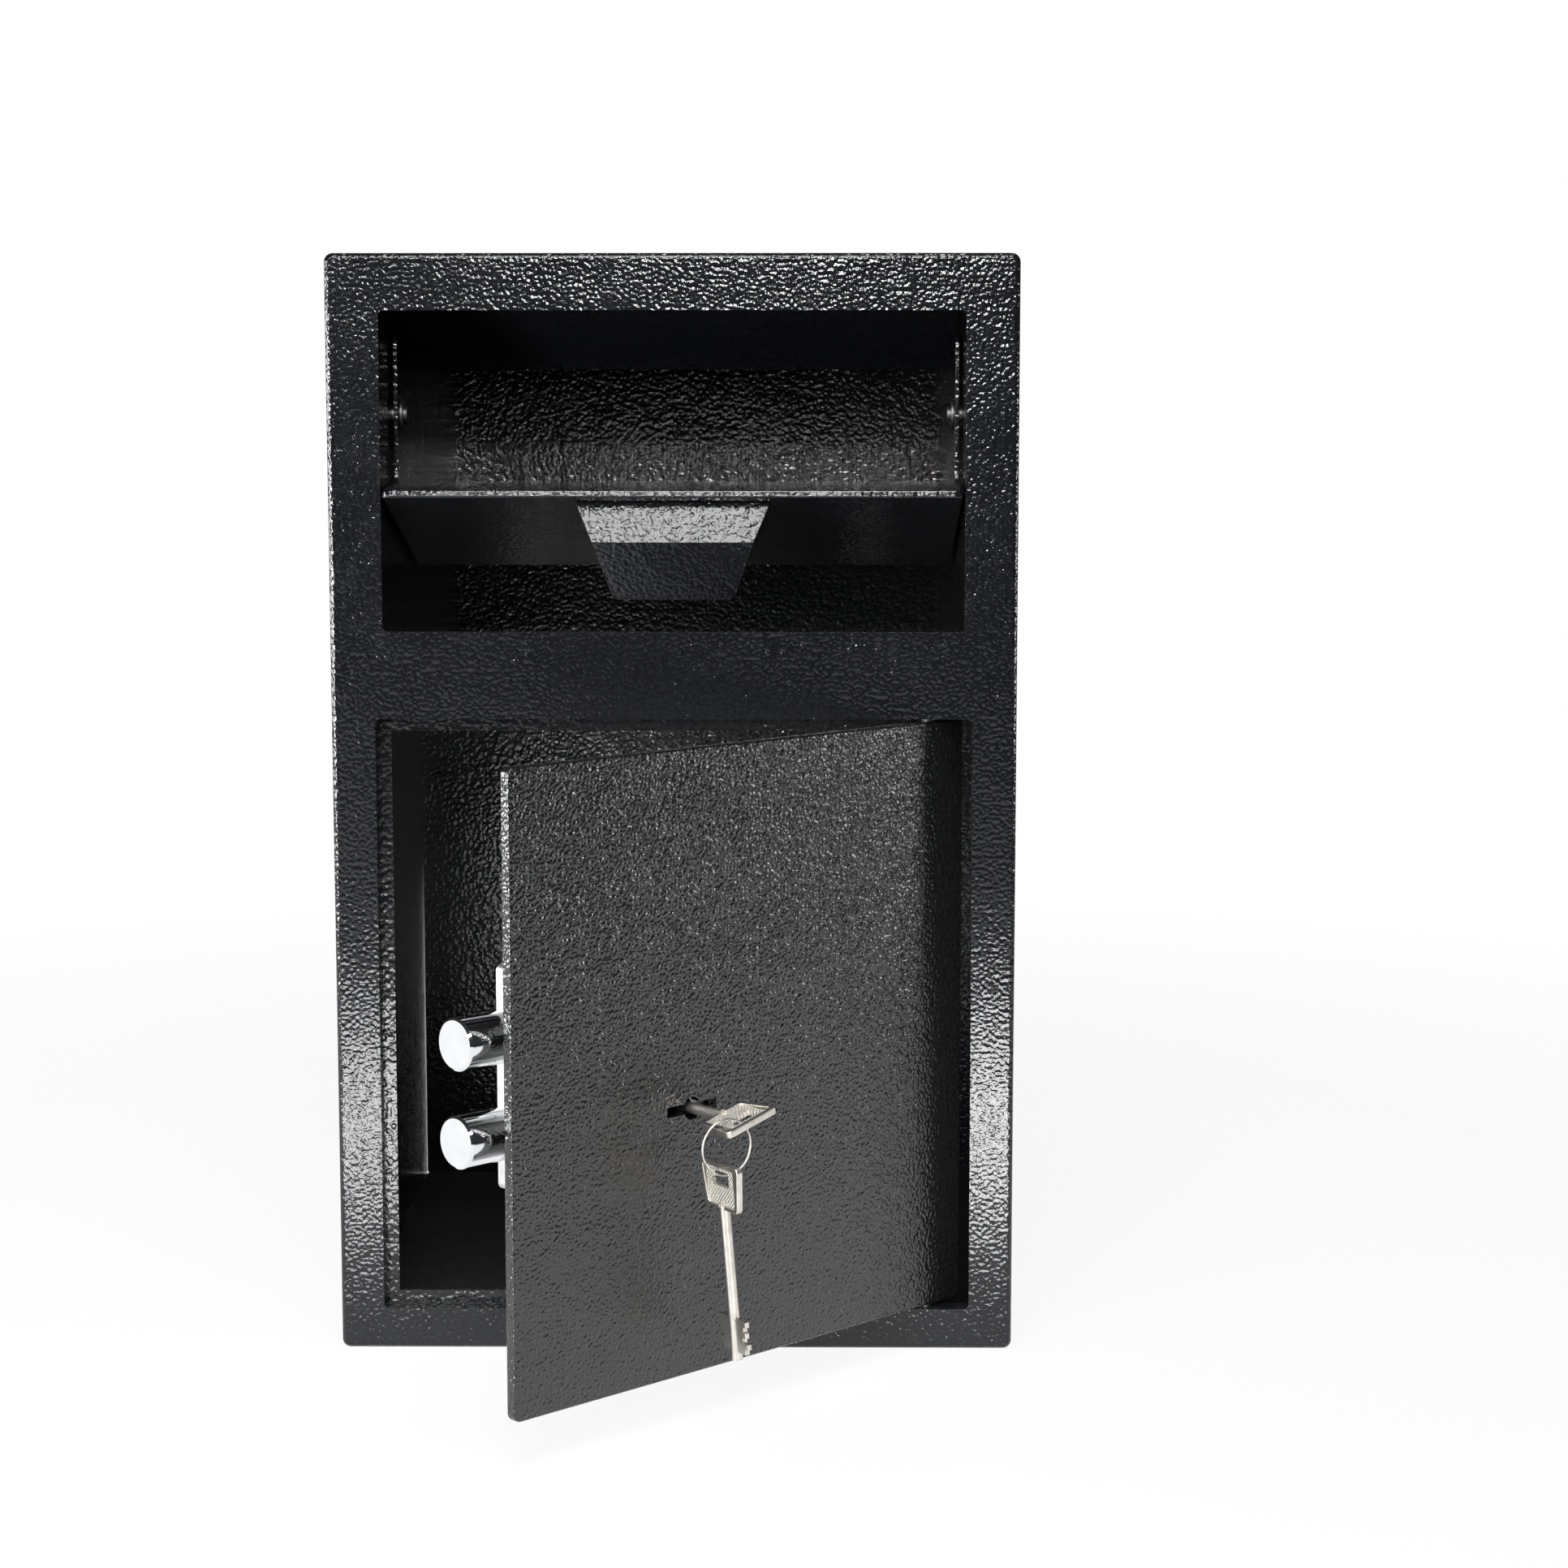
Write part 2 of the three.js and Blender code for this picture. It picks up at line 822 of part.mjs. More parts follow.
function lockCase() {
  const outer = slabXZ(
    roundedRectangle(lockLeft, lockRight, lockBottom, lockTop, lockCornerRadius),
    lockFront,
    lockBack,
    lockCornerRadius / 2,
  );
  const sweepEnd = keyTip - keyTipLength + tailClearance;
  const sweep = rod("y", keySweepRadius, lockFront - overrun, sweepEnd, keyX, keyZ);
  const pilot = rod(
    "y",
    keyStemRadius + weldGap,
    lockFront,
    keyTip + tailClearance,
    keyX,
    keyZ,
    smallSegments,
  );
  return cut(outer, sweep, pilot, tailSlot(lockFront - overrun));
}

function lockScrewPlaces() {
  const xs = [lockLeft + lockScrewInset, lockRight - lockScrewInset];
  const zs = [lockBottom + lockScrewInset, lockTop - lockScrewInset];
  return xs.flatMap((x) => zs.map((z) => [x, z]));
}

function lockScrew([x, z]) {
  const half = lockScrewHeadHeight / 2;
  return domeScrew(lockScrewRadius, half, lockScrewRadius, half).translate(
    x,
    lockBack + weldGap + half,
    z,
  );
}

// Bolts, the bar that joins them, and the slotted plate that slides on two studs
const boltEnd = doorLeft - boltProtrusion;
function bolt() {
  return chamferedRod(boltRadius, boltBodyLength, boltChamfer);
}

const barLeft = boltEnd + boltBodyLength + weldGap;
const plateFront = doorBack + drivePlateBehindDoor;
const plateBack = plateFront + drivePlateThickness;
function boltBar() {
  return slabXZ(
    roundedRectangle(
      barLeft,
      barLeft + boltBarWidth,
      boltHeights[1] - boltBarOverhang,
      boltHeights[0] + boltBarOverhang,
      boltChamfer,
    ),
    plateBack + weldGap,
    plateBack + weldGap + boltBarThickness,
  );
}

const studPlaces = [
  [keyX - guideStudOut, boltHeights[0]],
  [keyX + guideStudIn, boltHeights[0]],
];
function drivePlate() {
  const right = barLeft + drivePlateLength;
  const low = keyZ - 2 * keyholeHubRadius;
  const high = boltHeights[0] + drivePlateRise;
  const plate = slabXZ(
    roundedRectangle(barLeft, right, low, high, cornerRadius),
    plateFront,
    plateBack,
  );
  const slotRound = (x, z, radius) =>
    slabXZ(
      roundedRectangle(
        x - boltIn - radius,
        x + boltOut + radius,
        z - radius,
        z + radius,
        radius - weldGap,
      ),
      plateFront - overrun,
      plateBack + overrun,
    );
  const slots = studPlaces.map(([x, z]) => slotRound(x, z, guideStudRadius + tailClearance));
  slots.push(slotRound(keyX, keyZ, keyStemRadius + tailClearance));
  return cut(plate, ...slots);
}

function guideStud([x, z]) {
  return rod("y", guideStudRadius, mountFace, mountFace + guideStudReach, x, z, smallSegments);
}

// Tail: carries the key's push from the lock to the drive plate
function lockTail() {
  return block(
    tailLeft,
    tailLeft + tailWidth,
    plateBack + weldGap,
    lockBack - lockFloor - tailClearance,
    tailBottom,
    tailBottom + tailHeight,
  );
}

// Double-bit key, drawn lying in X and Y: stem along +Y, bow behind y = 0
const bitCutShares = [0.2, 0.62, 0.35, 0.8, 0.1, 0.5];
function safeKey() {
  const bow = outline([
    [-keyBowNeckWidth / 2, 0, keyBowCornerRadius],
    [keyBowNeckWidth / 2, 0, keyBowCornerRadius],
    [keyBowWidth / 2, -keyBowLength, keyBowCornerRadius],
    [-keyBowWidth / 2, -keyBowLength, keyBowCornerRadius],
  ]);
  const slotEnd = -keyBowLength + keyBarHeight;
  bow.holes.push(
    roundedRectangle(
      -keySlotWidth / 2,
      keySlotWidth / 2,
      slotEnd,
      slotEnd + keySlotHeight,
      keySlotRadius,
    ),
  );
  const plate = extruded(bow, keyBowThickness, keyBowEdgeRadius).translate(0, 0, -keyBowThickness / 2);
  const stem = rod("y", keyStemRadius, -keyBowCornerRadius, keyStemLength, 0, 0, smallSegments);
  const bitStart = keyStemLength - keyTipLength - keyBitLength;
  const step = keyBitLength / bitCutShares.length;
  const depth = keyBitHalfSpan - keyStemRadius;
  const points = [[0, bitStart]];
  bitCutShares.forEach((share, i) => {
    const reach = keyBitHalfSpan - (share * depth) / 2;
    points.push([reach, bitStart + i * step], [reach, bitStart + (i + 1) * step]);
  });
  points.push([0, bitStart + keyBitLength]);
  const half = new THREE.Shape(points.map(([x, y]) => new THREE.Vector2(x, y)));
  const bit = extruded(half, keyBitThickness).translate(0, 0, -keyBitThickness / 2);
  const otherBit = bit.clone().rotateY(Math.PI);
  return join(plate, stem, bit, otherBit);
}

// Key ring, drawn in Y and Z round its middle
function keyRing() {
  return new THREE.TorusGeometry(
    ringRadius,
    ringWireRadius,
    ringWireSegments,
    ringSegments,
  ).rotateY(Math.PI / 2);
}

// Assembly
const safe = new THREE.Group();

safe.add(mesh("body_shell", bodyShell(), paint));
safe.add(mesh("back_plate", backPlate(), paint));
safe.add(mesh("door_frame", doorFrame(), paint));
safe.add(mesh("chamber_side_left", chamberSide(-1), paint));
safe.add(mesh("chamber_side_right", chamberSide(1), paint));
safe.add(mesh("rear_shelf", rearShelf(), paint));
safe.add(mesh("top_guard", topGuard(), paint));
const mat = mesh("floor_mat", floorMat(), carpet);
mat.position.z = wall + weldGap;
safe.add(mat);

// The tray turns on its pins
const tray = new THREE.Group();
tray.position.set(0, trayPivotY, trayPivotZ);
const tippedFlap = new THREE.Group();
tippedFlap.rotation.x = tip;
tippedFlap.add(mesh("flap_panel", flapPanel(), paint));
tippedFlap.add(mesh("pull_handle", pullHandle(), paint));
tray.add(tippedFlap);
tray.add(mesh("tray_plate", trayPlate(), paint));
for (const [word, side] of [
  ["left", -1],
  ["right", 1],
]) {
  tray.add(mesh("cheek_" + word, cheek(side), paint));
  tray.add(mesh("tray_pin_" + word, trayPin(side), steel));
  tray.add(mesh("pin_clip_" + word, pinClip(side), steel));
}
safe.add(tray);

// The door turns on its hinge rods
const door = new THREE.Group();
door.position.set(hingeX, hingeY, 0);
door.rotation.z = radians(doorOpenAngle);
door.add(mesh("door_panel", doorPanel(), paint));
door.add(mesh("hinge_rod_top", hingeRod(true), steel));
door.add(mesh("hinge_rod_bottom", hingeRod(false), steel));
door.add(mesh("boltwork_cover", boltworkCover(), zinc));
door.add(mesh("lock_case", lockCase(), zinc));
for (const [name, places, make, look] of [
  ["cover_screw_", coverScrewPlaces(), coverScrew, chrome],
  ["lock_screw_", lockScrewPlaces(), lockScrew, steel],
  ["guide_stud_", studPlaces, guideStud, steel],
])
  places.forEach((place, i) => door.add(mesh(name + (i + 1), make(place), look)));

// The boltwork slides along the door
door.add(mesh("bolt_bar", boltBar(), steel));
door.add(mesh("drive_plate", drivePlate(), steel));
door.add(mesh("lock_tail", lockTail(), steel));
["bolt_upper", "bolt_lower"].forEach((name, i) => {
  const round = mesh(name, bolt(), chrome);
  round.position.set(boltEnd, boltY, boltHeights[i]);
  door.add(round);
});

// The key turns in the lock
const key = new THREE.Group();
key.position.set(keyX, doorFront - keyStemVisible, keyZ);
key.rotation.y = -radians(keyTurnFromSlot);
key.add(mesh("lock_key", safeKey(), nickel));
door.add(key);

// The ring has slid to the low end of the slot and hangs upright round the web beside it. Its
// hole rests on both edges of the web, so its middle lies square below the middle of the web.
const ringHole = ringRadius - ringWireRadius;
const ringTurn = radians(ringTurnFromDoor);
const webEdge = (keyBowNeckWidth + keyBowWidth) / 4;
const webMiddle = (webEdge + keySlotWidth / 2) / 2;
const webHalf = (webEdge - keySlotWidth / 2) / 2 / Math.cos(ringTurn);
const webSlope = Math.atan(Math.cos(ringTurn) * Math.tan(radians(keyTurnFromSlot)));
const ringDrop = Math.sqrt((ringHole - ringSlack) ** 2 - webHalf ** 2) - keyBowThickness / 2;
const ringAside = ringDrop * Math.sin(webSlope);
const hanging = new THREE.Group();
hanging.position.set(
  keyX - webMiddle * Math.cos(radians(keyTurnFromSlot)) + ringAside * Math.cos(ringTurn),
  doorFront - keyStemVisible - ringFromNeck - ringAside * Math.sin(ringTurn),
  keyZ - webMiddle * Math.sin(radians(keyTurnFromSlot)) - ringDrop * Math.cos(webSlope),
);
hanging.rotation.z = Math.PI / 2 - ringTurn;
hanging.add(mesh("key_ring", keyRing(), nickel));

// The second key hangs low on the ring by the bar of its own bow, a little aside and leaning
const spareReach = ringHole - spareKeySlack - keyBarHeight / 2;
const spare = new THREE.Group();
spare.position.y = spareReach * Math.sin(radians(spareKeyAside));
spare.position.z = -spareReach * Math.cos(radians(spareKeyAside));
spare.rotation.x = -radians(spareKeyLean);
const spareKey = mesh("spare_key", safeKey(), nickel);
spareKey.position.z = -keyBowLength + keyBarHeight / 2;
spareKey.rotation.x = -Math.PI / 2;
spare.add(spareKey);
hanging.add(spare);
door.add(hanging);

safe.add(door);

export default safe;
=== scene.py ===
# %% [markdown]
# # A drop safe with a deposit drawer
#
# A folded steel body stands on a white floor. Behind its upper opening a tray tips open for
# deposits, and behind the lower one a door on hidden hinge rods carries two round bolts, with
# a key in its lock and a second key on a ring. This lesson dresses the plain machined solids:
# first the frame is loaded, then each piece gets crisp edges and a finish of its own, and at
# the end the floor and the lamps are set up.

# %% Load the frame
import json
import math

import bmesh
import bpy
from mathutils import Matrix, Vector

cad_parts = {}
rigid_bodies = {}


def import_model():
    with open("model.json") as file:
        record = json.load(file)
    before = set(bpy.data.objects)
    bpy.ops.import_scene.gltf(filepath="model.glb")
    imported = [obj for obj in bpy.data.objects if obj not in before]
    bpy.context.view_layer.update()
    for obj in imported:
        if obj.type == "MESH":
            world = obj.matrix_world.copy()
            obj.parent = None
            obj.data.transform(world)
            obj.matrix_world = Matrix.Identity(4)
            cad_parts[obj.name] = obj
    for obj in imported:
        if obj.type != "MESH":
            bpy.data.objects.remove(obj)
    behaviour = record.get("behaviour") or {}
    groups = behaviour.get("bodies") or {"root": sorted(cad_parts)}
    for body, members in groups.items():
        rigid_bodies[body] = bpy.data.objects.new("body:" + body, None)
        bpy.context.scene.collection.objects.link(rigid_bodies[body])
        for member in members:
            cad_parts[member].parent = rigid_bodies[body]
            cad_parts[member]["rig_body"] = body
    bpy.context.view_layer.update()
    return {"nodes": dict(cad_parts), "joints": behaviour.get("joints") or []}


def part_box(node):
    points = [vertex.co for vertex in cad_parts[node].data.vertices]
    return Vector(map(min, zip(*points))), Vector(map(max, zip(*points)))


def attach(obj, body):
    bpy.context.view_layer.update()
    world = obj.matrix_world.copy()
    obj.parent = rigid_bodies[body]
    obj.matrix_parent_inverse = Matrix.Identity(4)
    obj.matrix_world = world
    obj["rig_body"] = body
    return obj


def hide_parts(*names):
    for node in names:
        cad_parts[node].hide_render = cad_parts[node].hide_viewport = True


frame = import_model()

MM = 0.001
nodes = frame["nodes"]

# %% [markdown]
# ## The joints as axes
#
# The door is ajar, the key is turned and the second key hangs askew, so the pieces made here
# stand at an angle. The frame's joints say where each of them turns or slides. The directions
# are worked out from the joints, and so no place is measured twice.

# %% Axes of the door and the key
joints = {joint["name"]: joint for joint in frame["joints"]}


def joint_axis(name):
    return Vector(joints[name]["axis"]).normalized()


def joint_place(name):
    return Vector(joints[name]["pos_m"])


UP = Vector((0, 0, 1))
along_door = joint_axis("bolt_throw")
key_place = joint_place("key_turn")
print("door axis", [round(v, 3) for v in along_door], "key at", [round(v, 4) for v in key_place])

# %% [markdown]
# ## Camera
#
# The photograph was taken from a little above the middle of the safe and slightly to its
# right, looking down by about seven degrees. The two openings are true rectangles of known
# size, so their corners in the picture give the place of the camera and its focal length.

# %% Camera
PICTURE_SIDE = 1932
FOCAL_PIXELS = 4006
SENSOR = 36
CAMERA_PLACE = Vector((69.46, -1828.8, 508.3)) * MM
LOOKING_DOWN = 0.127
TURNED_LEFT = 0.008
NEAREST_SEEN = 0.05
FARTHEST_SEEN = 50


def stand_in_scene(name, data):
    """An object with the given data, put into the scene."""
    thing = bpy.data.objects.new(name, data)
    bpy.context.scene.collection.objects.link(thing)
    return thing


camera_data = bpy.data.cameras.new("camera")
camera_data.sensor_width = SENSOR
camera_data.lens = FOCAL_PIXELS / PICTURE_SIDE * SENSOR
camera_data.clip_start = NEAREST_SEEN
camera_data.clip_end = FARTHEST_SEEN
camera = stand_in_scene("camera", camera_data)
camera.location = CAMERA_PLACE
camera.rotation_euler = (math.pi / 2 - LOOKING_DOWN, 0, TURNED_LEFT)
bpy.context.scene.camera = camera
print("focal length", round(camera_data.lens, 2), "mm")

# %% [markdown]
# ## Writing shader maths as sums
#
# A finish is a small network of nodes. Written node by node, its sense is soon lost. So one
# class wraps a socket, and a mask is then written as an ordinary sum. A second class holds a
# material and adds any other node with one method.


# %% A wire that can be used in sums
class Wire:
    def __init__(self, finish, socket):
        self.finish = finish
        self.socket = socket

    def maths(self, operation, first, second):
        return self.finish.node("ShaderNodeMath", {"operation": operation}, {0: first, 1: second})

    def __add__(self, other):
        return self.maths("ADD", self, other)

    def __radd__(self, other):
        return self.maths("ADD", other, self)

    def __sub__(self, other):
        return self.maths("SUBTRACT", self, other)

    def __rsub__(self, other):
        return self.maths("SUBTRACT", other, self)

    def __mul__(self, other):
        return self.maths("MULTIPLY", self, other)


# %% A finish: one material and the nodes it is made of
FIRST_COLOUR, SECOND_COLOUR, BLENDED_COLOUR = 6, 7, 2


class Finish:
    def __init__(self, name, **constants):
        self.material = bpy.data.materials.new(name)
        self.material.use_nodes = True
        self.tree = self.material.node_tree
        self.shader = self.tree.nodes["Principled BSDF"]
        for socket, value in constants.items():
            self.shader.inputs[socket.replace("_", " ")].default_value = value

    def node(self, kind, settings, sockets, output=0):
        node = self.tree.nodes.new(kind)
        for setting, value in settings.items():
            setattr(node, setting, value)
        for socket, value in sockets.items():
            self.feed(node.inputs[socket], value)
        return Wire(self, node.outputs[output])

    def feed(self, socket, value):
        if isinstance(value, Wire):
            self.tree.links.new(value.socket, socket)
        else:
            socket.default_value = value

    def set(self, **inputs):
        for socket, value in inputs.items():
            self.feed(self.shader.inputs[socket.replace("_", " ")], value)
        print(self.material.name, "is made of", len(self.tree.nodes), "nodes")
        return self.material

    def place(self):
        return self.node("ShaderNodeTexCoord", {}, {}, "Object")

    def noise(self, place, size, detail=2.0, roughness=0.5):
        sockets = {"Vector": place, "Scale": 1 / size, "Detail": detail, "Roughness": roughness}
        return self.node("ShaderNodeTexNoise", {}, sockets, "Fac")

    def along(self, place, direction):
        """How far a point lies along a direction."""
        sockets = {0: place, 1: tuple(direction)}
        return self.node("ShaderNodeVectorMath", {"operation": "DOT_PRODUCT"}, sockets, "Value")

    def from_point(self, place, point):
        """How far a place is from a given point."""
        sockets = {0: place, 1: point}
        return self.node("ShaderNodeVectorMath", {"operation": "DISTANCE"}, sockets, "Value")

    def wave(self, angle):
        return self.node("ShaderNodeMath", {"operation": "SINE"}, {0: angle})

    def size_of(self, number):
        return self.node("ShaderNodeMath", {"operation": "ABSOLUTE"}, {0: number})

    def between(self, share, low, high):
        """0 at low, 1 at high and an even rise from one to the other."""
        sockets = {"Value": share, "From Min": low, "From Max": high}
        return self.node("ShaderNodeMapRange", {}, sockets)

    def blend(self, share, first, second):
        """From the first colour to the second. The node's colour sockets go by number."""
        sockets = {"Factor": share, FIRST_COLOUR: opaque(first), SECOND_COLOUR: opaque(second)}
        return self.node("ShaderNodeMix", {"data_type": "RGBA"}, sockets, BLENDED_COLOUR)

    def bump(self, height, depth):
        return self.node("ShaderNodeBump", {}, {"Height": height, "Distance": depth})


def opaque(colour):
    return tuple(colour) + (1,)


# %% [markdown]
# ## Hammered black paint
#
# The whole body, the door and the tray carry one thick powder coat. It is nearly black, and
# it dries into soft pebbles about two millimetres across, whose flanks catch the lamps as many
# small bright points. A smooth noise gives the pebbles, a wide one lets the coat drift thicker
# and thinner, and a fine one breaks the pebbles up. They could be modelled, but a coat half a
# millimetre deep never shows in an outline, so they feed the bump. The crests of the pebbles
# are also painted lighter in the colour, as a painted highlight. Each version differs a little:
# the door's coat is finer and shinier, and the one inside is coarser.

# %% The paint
DRIFT_REACH = 12
DRIFT_HEIGHT = 0.8
DRIFT_ROUGHNESS = 0.08
PEBBLE_DETAIL = 0.6
PEBBLE_SOFTNESS = 0.45
FINE_REACH = 0.3
FINE_HEIGHT = 0.06
FINE_ROUGHNESS = 0.06
FINE_SHARE = 0.3
# Where the painted highlight on the pebble crests starts and ends, and how much lighter it paints
# them
CREST_HIGHLIGHT_FROM, CREST_HIGHLIGHT_TO = 0.35, 0.65
CREST_HIGHLIGHT_GAIN = 2.2
PLAIN_SHINE = 0.5


def black_paint(name, pebble, depth, rough, base, shine=PLAIN_SHINE):
    finish = Finish(name, Metallic=0.0, Specular_IOR_Level=shine)
    place = finish.place()
    drift = finish.noise(place, pebble * DRIFT_REACH)
    pebbles = finish.noise(place, pebble, PEBBLE_DETAIL, PEBBLE_SOFTNESS)
    fine = finish.noise(place, pebble * FINE_REACH)
    # The pebble crests get a lighter colour: a painted highlight
    painted_crest_highlight = finish.between(
        pebbles * (1 - FINE_SHARE) + fine * FINE_SHARE, CREST_HIGHLIGHT_FROM, CREST_HIGHLIGHT_TO
    )
    highlight_colour = [channel * CREST_HIGHLIGHT_GAIN for channel in base]
    height = pebbles + fine * FINE_HEIGHT + drift * DRIFT_HEIGHT
    return finish.set(
        Base_Color=finish.blend(painted_crest_highlight, base, highlight_colour),
        Roughness=rough + drift * DRIFT_ROUGHNESS + fine * FINE_ROUGHNESS,
        Normal=finish.bump(height, depth),
    )


# %% Its three versions: the pebbles' width and depth, roughness, colour and shine
body_paint = black_paint("body_paint", 2.0 * MM, 0.38 * MM, 0.06, (0.003, 0.0032, 0.004))
door_paint = black_paint("door_paint", 1.7 * MM, 0.58 * MM, 0.07, (0.0045, 0.0046, 0.0048), 0.9)
inner_paint = black_paint("inner_paint", 2.2 * MM, 0.42 * MM, 0.08, (0.003, 0.0032, 0.0038))

# %% [markdown]
# ## Metals
#
# The bolts and the cover's screws are chromed and polished, the boltwork cover and the lock
# are plated with dull zinc, the inner pieces are bright steel, the pins and rods that carry
# the tray and the door are a darkened steel, and the ring is nickel. Plating is never even: a
# cloudy noise shifts its colour and roughness, and a fine one gives it a grain that can just
# be felt.

# %% The metal finish
CLOUD_REACH = 14
CLOUD_DETAIL = 3
CLOUD_SHARE = 0.6
CLOUD_FROM, CLOUD_TO = 0.35, 0.7
GRAIN_DETAIL = 4
GRAIN_SHARPNESS = 0.7


def metal(name, colour, darker, rough, grain, depth):
    finish = Finish(name, Metallic=1.0)
    place = finish.place()
    cloud = finish.noise(place, grain * CLOUD_REACH, CLOUD_DETAIL)
    scratch = finish.noise(place, grain, GRAIN_DETAIL, GRAIN_SHARPNESS)
    wear = cloud * CLOUD_SHARE + scratch * (1 - CLOUD_SHARE)
    return finish.set(
        Base_Color=finish.blend(finish.between(cloud, CLOUD_FROM, CLOUD_TO), colour, darker),
        Roughness=rough + wear * rough,
        Normal=finish.bump(scratch, depth),
    )


# %% Chrome, zinc, steel and nickel: colours, roughness, width and depth of the grain
chrome = metal("chrome", (0.86, 0.87, 0.89), (0.8, 0.81, 0.83), 0.05, 0.8 * MM, 0.004 * MM)
zinc = metal("zinc", (0.62, 0.63, 0.62), (0.5, 0.51, 0.5), 0.3, 0.5 * MM, 0.01 * MM)
steel = metal("steel", (0.55, 0.56, 0.57), (0.42, 0.43, 0.44), 0.22, 0.5 * MM, 0.01 * MM)
# A darkened steel, much darker than the bright steel, for the tray pins, their clips and the
# hinge rods
darkened = metal("darkened_steel", (0.17, 0.17, 0.18), (0.1, 0.1, 0.1), 0.3, 0.5 * MM, 0.01 * MM)
nickel = metal("nickel", (0.82, 0.79, 0.73), (0.64, 0.6, 0.54), 0.24, 0.35 * MM, 0.02 * MM)

# %% [markdown]
# ## Carpet
#
# The floor of the compartment is lined with thin dark needle felt. Little of it shows between
# the door and the sill, so noise for its fibres and lumps is enough, and no hair is grown. It
# hardly shines, so its mirror reflection is turned down.

# %% Needle felt
FELT_SHINE = 0.15
FIBRE = 0.5 * MM
FIBRE_DETAIL = 4
FIBRE_SHARPNESS = 0.8
LUMP = 4 * MM
LUMP_SHARE = 0.3
LUMP_HEIGHT = 2
FELT_DEPTH = 0.6 * MM
FELT_ROUGHNESS = 0.85
FIBRE_ROUGHNESS = 0.15
FELT_FROM, FELT_TO = 0.35, 0.7
FELT_DARK, FELT_LIGHT = (0.006, 0.006, 0.0066), (0.03, 0.029, 0.031)


def felt(name):
    finish = Finish(name, Metallic=0.0, Specular_IOR_Level=FELT_SHINE)
    place = finish.place()
    fibres = finish.noise(place, FIBRE, FIBRE_DETAIL, FIBRE_SHARPNESS)
    lumps = finish.noise(place, LUMP)
    mottled = finish.between(
        fibres * (1 - LUMP_SHARE) + lumps * LUMP_SHARE, FELT_FROM, FELT_TO
    )
    return finish.set(
        Base_Color=finish.blend(mottled, FELT_DARK, FELT_LIGHT),
        Roughness=FELT_ROUGHNESS + fibres * FIBRE_ROUGHNESS,
        Normal=finish.bump(fibres + lumps * LUMP_HEIGHT, FELT_DEPTH),
    )


carpet = felt("carpet")

# %% [markdown]
# ## Crisp edges on the machined solids
#
# The solids of the frame have knife-sharp edges, which no painted sheet has. A copy of each
# solid is welded, its flat faces are merged, and its sharp edges get a small round, wider
# where the paint lies thick. The copy then stands for the solid, in the same place and riding
# on the same body.

# %% A small round on every sharp edge
SHARP = math.radians(28)
ROUND_STEPS = 2
FLAT_FACES_LEAD = 100


def round_edges(piece, edge):
    """Rounds the sharp edges and keeps the flat faces flat in the light."""
    piece.data.shade_smooth()
    bevel = piece.modifiers.new("edges", "BEVEL")
    bevel.width = edge
    bevel.segments = ROUND_STEPS
    bevel.limit_method = "ANGLE"
    bevel.angle_limit = SHARP
    flat = piece.modifiers.new("flat faces", "WEIGHTED_NORMAL")
    flat.weight = FLAT_FACES_LEAD
    keep_modifiers(piece)


def keep_modifiers(piece):
    """Puts a piece's modifiers into its mesh."""
    bpy.context.view_layer.update()
    evaluated = piece.evaluated_get(bpy.context.evaluated_depsgraph_get())
    mesh = bpy.data.meshes.new_from_object(evaluated)
    piece.modifiers.clear()
    piece.data = mesh


# %% A finished copy of a solid
WELD = 0.002 * MM
STILL_FLAT = math.radians(0.5)


def dress(piece, node, finish):
    """Gives a made piece its finish and lets it stand for a node of the frame."""
    piece.data.materials.clear()
    piece.data.materials.append(finish)
    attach(piece, nodes[node]["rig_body"])
    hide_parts(node)


def finished(name, finish, edge):
    """A welded copy of a solid, with rounded edges where an edge width is given."""
    mesh = bpy.data.meshes.new(name + "_finished")
    work = bmesh.new()
    work.from_mesh(nodes[name].data)
    bmesh.ops.remove_doubles(work, verts=work.verts, dist=WELD)
    bmesh.ops.dissolve_limit(work, angle_limit=STILL_FLAT, verts=work.verts, edges=work.edges)
    work.to_mesh(mesh)
    work.free()
    piece = stand_in_scene(name + "_finished", mesh)
    if edge:
        round_edges(piece, edge)
    dress(piece, name, finish)
    return piece


# %% Which finish each solid gets
STEEL_PIECES = ["bolt_bar", "drive_plate", "lock_tail"] + [
    name for name in nodes if name.startswith(("lock_screw", "guide_stud"))
]
CHROMED = [name for name in nodes if name.startswith("cover_screw")]
PAINTED_INSIDE = [
    "back_plate", "door_frame", "chamber_side_left", "chamber_side_right", "rear_shelf",
    "top_guard", "tray_plate", "cheek_left", "cheek_right",
]
DARKENED_STEEL = [
    "tray_pin_left", "tray_pin_right", "pin_clip_left", "pin_clip_right", "hinge_rod_top",
    "hinge_rod_bottom",
]

for names, finish, slot, edge in [
    (["body_shell"], body_paint, "black_paint", 1.8 * MM),
    (["door_panel"], door_paint, "black_paint", 2.2 * MM),
    (["flap_panel", "pull_handle"], body_paint, "black_paint", 1.0 * MM),
    (PAINTED_INSIDE, inner_paint, "black_paint", 0.7 * MM),
    (["boltwork_cover", "lock_case"], zinc, "zinc_plate", 0.4 * MM),
    (DARKENED_STEEL, darkened, "bare_steel", 0.25 * MM),
    (STEEL_PIECES, steel, "bare_steel", 0.25 * MM),
    (CHROMED, chrome, "bright_chrome", 0.2 * MM),
    (["floor_mat"], carpet, "dark_carpet", 0.4 * MM),
]:
    faces = sum(len(finished(name, finish, edge).data.polygons) for name in names)
    print(finish.name, "on", len(names), "pieces with", faces, "faces")

